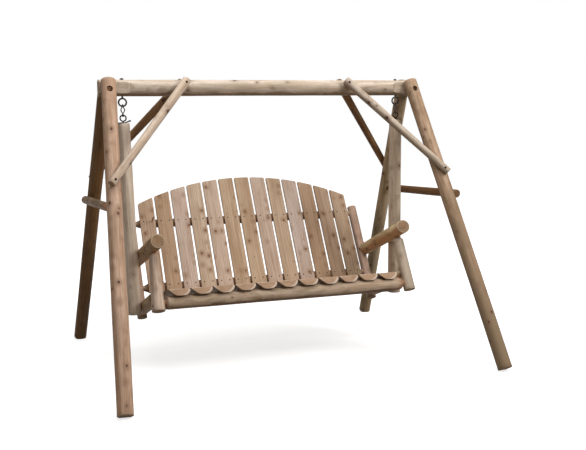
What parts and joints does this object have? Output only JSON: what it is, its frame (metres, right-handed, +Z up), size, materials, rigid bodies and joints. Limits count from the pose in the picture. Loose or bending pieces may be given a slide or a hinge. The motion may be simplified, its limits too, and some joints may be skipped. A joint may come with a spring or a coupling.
{
  "type": "porch swing",
  "caption": "Log porch swing: a bench with half-round seat slabs, an arched slatted back and log arms, hung by eyes and links from a round beam on splayed A-frame legs.",
  "frame": {"origin": "on the ground, under the middle of the top beam", "axes": "+X runs along the beam to the right as seen from the front, -Y is the side that a sitter faces, +Z is up"},
  "size_m": [2.456, 2.1916, 1.8819],
  "materials": {
    "peeled_log": "peeled cedar, clear oil, pinkish tan with olive-grey shading and small dark knots",
    "shaded_log": "peeled cedar, darker reddish brown",
    "arm_log": "peeled cedar, golden tan, end grain with rings",
    "seat_slab": "sawn and sanded half-round slab, pale tan",
    "back_slat": "sawn and sanded board, tan to pink",
    "dark_steel": "dark weathered steel",
    "zinc_steel": "dull zinc",
    "black_steel": "black painted strap",
    "screw_steel": "dark coated screws"
  },
  "bodies": {
    "frame": {"top_beam": "peeled_log", "leg_front_left": "peeled_log", "leg_front_right": "peeled_log", "leg_rear_left": "shaded_log", "leg_rear_right": "shaded_log", "stretcher_left": "peeled_log", "stretcher_right": "peeled_log", "brace_front_left": "peeled_log", "brace_front_right": "peeled_log", "brace_rear_left": "shaded_log", "brace_rear_right": "shaded_log", "leg_bolts": "dark_steel", "leg_nuts": "dark_steel", "leg_washers": "zinc_steel", "stretcher_screws": "screw_steel", "brace_screws": "screw_steel", "beam_eye_bolts": "dark_steel", "beam_eye_nuts": "dark_steel", "beam_eye_washers": "zinc_steel"},
    "link_left": {"link_left": "dark_steel"},
    "link_right": {"link_right": "dark_steel"},
    "bench": {"hanger_left": "peeled_log", "hanger_right": "peeled_log", "hanger_eyes": "dark_steel", "hanger_plates": "black_steel", "hanger_lags": "dark_steel", "arm_left": "arm_log", "arm_right": "arm_log", "arm_post_left": "peeled_log", "arm_post_right": "peeled_log", "back_post_left": "peeled_log", "back_post_right": "peeled_log", "side_rail_left": "arm_log", "side_rail_right": "arm_log", "front_rail": "peeled_log", "rear_rail": "shaded_log", "lower_back_rail": "shaded_log", "upper_back_rail": "shaded_log", "seat_slabs": "seat_slab", "back_slat_01": "back_slat", "back_slat_02": "back_slat", "back_slat_03": "back_slat", "back_slat_04": "back_slat", "back_slat_05": "back_slat", "back_slat_06": "back_slat", "back_slat_07": "back_slat", "back_slat_08": "back_slat", "back_slat_09": "back_slat", "back_slat_10": "back_slat", "back_slat_11": "back_slat", "back_slat_12": "back_slat", "back_slat_13": "back_slat", "back_screws": "screw_steel", "seat_screws": "screw_steel", "arm_screws": "screw_steel"}
  },
  "joints": [
    {"name": "left_link_swing", "type": "hinge", "parent": "frame", "child": "link_left", "pos_m": [-0.9618, 0, 1.6985], "axis": [1, 0, 0], "range_deg": [-22, 22]},
    {"name": "right_link_swing", "type": "hinge", "parent": "frame", "child": "link_right", "pos_m": [0.9618, 0, 1.6985], "axis": [1, 0, 0], "range_deg": [-22, 22]},
    {"name": "bench_swing", "type": "hinge", "parent": "link_left", "child": "bench", "pos_m": [-0.9618, 0, 1.642], "axis": [1, 0, 0], "range_deg": [-14, 14]}
  ],
  "couplings": [
    {"joint": "right_link_swing", "follows": "left_link_swing", "ratio": 1}
  ]
}
